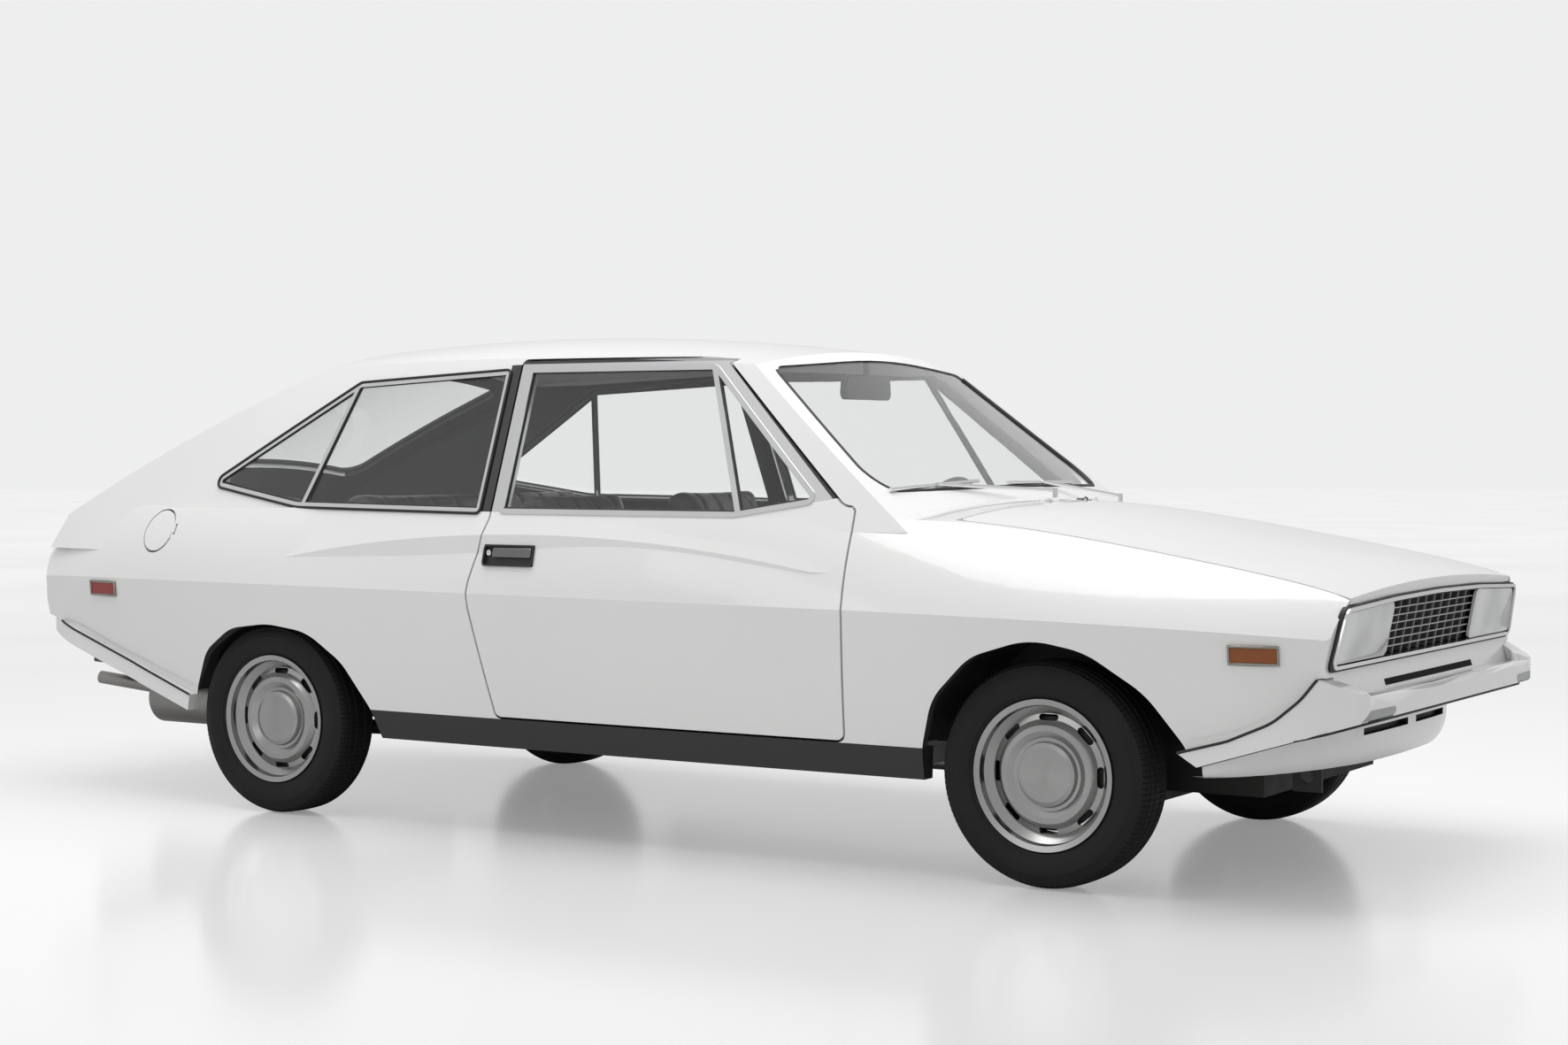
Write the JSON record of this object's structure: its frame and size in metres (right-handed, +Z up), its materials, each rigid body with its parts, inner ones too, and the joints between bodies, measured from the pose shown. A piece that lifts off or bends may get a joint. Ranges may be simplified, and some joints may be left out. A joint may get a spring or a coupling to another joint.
{
  "type": "hatchback car",
  "caption": "Two-door fastback hatchback with rolling wheels, working steering, opening doors, bonnet, rear hatch and fuel flap, and a fitted cabin.",
  "frame": {"origin": "on the ground under the middle of the car's length and width", "axes": "+X forward, +Y to the car's left, +Z up"},
  "size_m": [4.296, 1.6086, 1.3708],
  "materials": {
    "paint": "gloss white enamel",
    "bright_trim": "polished",
    "glass": "clear, faint tint",
    "black_plastic": "satin",
    "lamp_glass": "fluted lens",
    "amber_lens": "moulded lens",
    "red_lens": "moulded lens",
    "black_paint": "satin black",
    "cast_iron": "as cast, dark",
    "bare_steel": "dull",
    "interior_plastic": "grained",
    "seat_leather": "soft black",
    "tyre": "matte",
    "wheel_steel": "satin silver"
  },
  "bodies": {
    "body": {"dashboard": "interior_plastic", "engine": "cast_iron", "exhaust": "bare_steel", "floor_pan": "black_paint", "front_bumper": "paint", "front_markers": "amber_lens", "front_seats": "seat_leather", "front_subframe": "cast_iron", "front_wing_left": "paint", "front_wing_right": "paint", "fuel_tank": "bare_steel", "grille": "black_plastic", "grille_frame": "bright_trim", "head_lamps": "lamp_glass", "interior_mirror": "interior_plastic", "nose_panel": "paint", "quarter_frames": "bright_trim", "quarter_glass": "glass", "quarter_panel_left": "paint", "quarter_panel_right": "paint", "rear_axle": "cast_iron", "rear_bumper": "paint", "rear_seat": "seat_leather", "roof": "paint", "scuttle": "paint", "sills": "black_paint", "tail_lamps": "red_lens", "tail_panel": "paint", "wheel_wells": "black_paint", "windscreen": "glass", "wipers": "black_plastic"},
    "door_right": {"door_right": "paint", "door_frame_right": "bright_trim", "door_glass_right": "glass", "door_handle_right": "black_plastic"},
    "door_left": {"door_left": "paint", "door_frame_left": "bright_trim", "door_glass_left": "glass", "door_handle_left": "black_plastic"},
    "hood": {"hood": "paint"},
    "hatch": {"hatch": "paint", "hatch_glass": "glass"},
    "fuel_flap": {"fuel_flap": "paint"},
    "steering_wheel": {"steering_wheel": "interior_plastic"},
    "knuckle_right": {"knuckle_right": "cast_iron"},
    "knuckle_left": {"knuckle_left": "cast_iron"},
    "wheel_front_right": {"wheel_front_right": "wheel_steel", "tyre_front_right": "tyre"},
    "wheel_front_left": {"wheel_front_left": "wheel_steel", "tyre_front_left": "tyre"},
    "wheel_rear_right": {"wheel_rear_right": "wheel_steel", "tyre_rear_right": "tyre"},
    "wheel_rear_left": {"wheel_rear_left": "wheel_steel", "tyre_rear_left": "tyre"}
  },
  "joints": [
    {"name": "steer_left", "type": "hinge", "parent": "body", "child": "knuckle_left", "pos_m": [1.362, 0.612, 0.272], "axis": [0, 0, 1], "range_deg": [-30, 30]},
    {"name": "steer_right", "type": "hinge", "parent": "body", "child": "knuckle_right", "pos_m": [1.362, -0.612, 0.272], "axis": [0, 0, 1], "range_deg": [-30, 30]},
    {"name": "steering_turn", "type": "hinge", "parent": "body", "child": "steering_wheel", "pos_m": [0.482, 0.33, 0.792], "axis": [-0.8829, 0, 0.4695], "range_deg": [-450, 450]},
    {"name": "spin_front_left", "type": "hinge", "parent": "knuckle_left", "child": "wheel_front_left", "pos_m": [1.362, 0.672, 0.272], "axis": [0, 1, 0], "continuous": true},
    {"name": "spin_front_right", "type": "hinge", "parent": "knuckle_right", "child": "wheel_front_right", "pos_m": [1.362, -0.672, 0.272], "axis": [0, 1, 0], "continuous": true},
    {"name": "spin_rear_left", "type": "hinge", "parent": "body", "child": "wheel_rear_left", "pos_m": [-1.086, 0.672, 0.272], "axis": [0, 1, 0], "continuous": true},
    {"name": "spin_rear_right", "type": "hinge", "parent": "body", "child": "wheel_rear_right", "pos_m": [-1.086, -0.672, 0.272], "axis": [0, 1, 0], "continuous": true},
    {"name": "door_right_open", "type": "hinge", "parent": "body", "child": "door_right", "pos_m": [0.84138, -0.8046, 0.65], "axis": [0, 0, 1], "range_deg": [0, 65]},
    {"name": "door_left_open", "type": "hinge", "parent": "body", "child": "door_left", "pos_m": [0.84138, 0.8046, 0.65], "axis": [0, 0, -1], "range_deg": [0, 65]},
    {"name": "hood_open", "type": "hinge", "parent": "body", "child": "hood", "pos_m": [1.084, 0, 0.90948], "axis": [0, -1, 0], "range_deg": [0, 60]},
    {"name": "hatch_open", "type": "hinge", "parent": "body", "child": "hatch", "pos_m": [-1.107, 0, 1.32295], "axis": [0, 1, 0], "range_deg": [0, 70]},
    {"name": "fuel_flap_open", "type": "hinge", "parent": "body", "child": "fuel_flap", "pos_m": [-1.49048, -0.72692, 0.79505], "axis": [0, 0.4303, 0.9027], "range_deg": [0, 95]}
  ],
  "couplings": [
    {"joint": "steer_right", "follows": "steer_left", "ratio": 1},
    {"joint": "steering_turn", "follows": "steer_left", "ratio": 15}
  ]
}
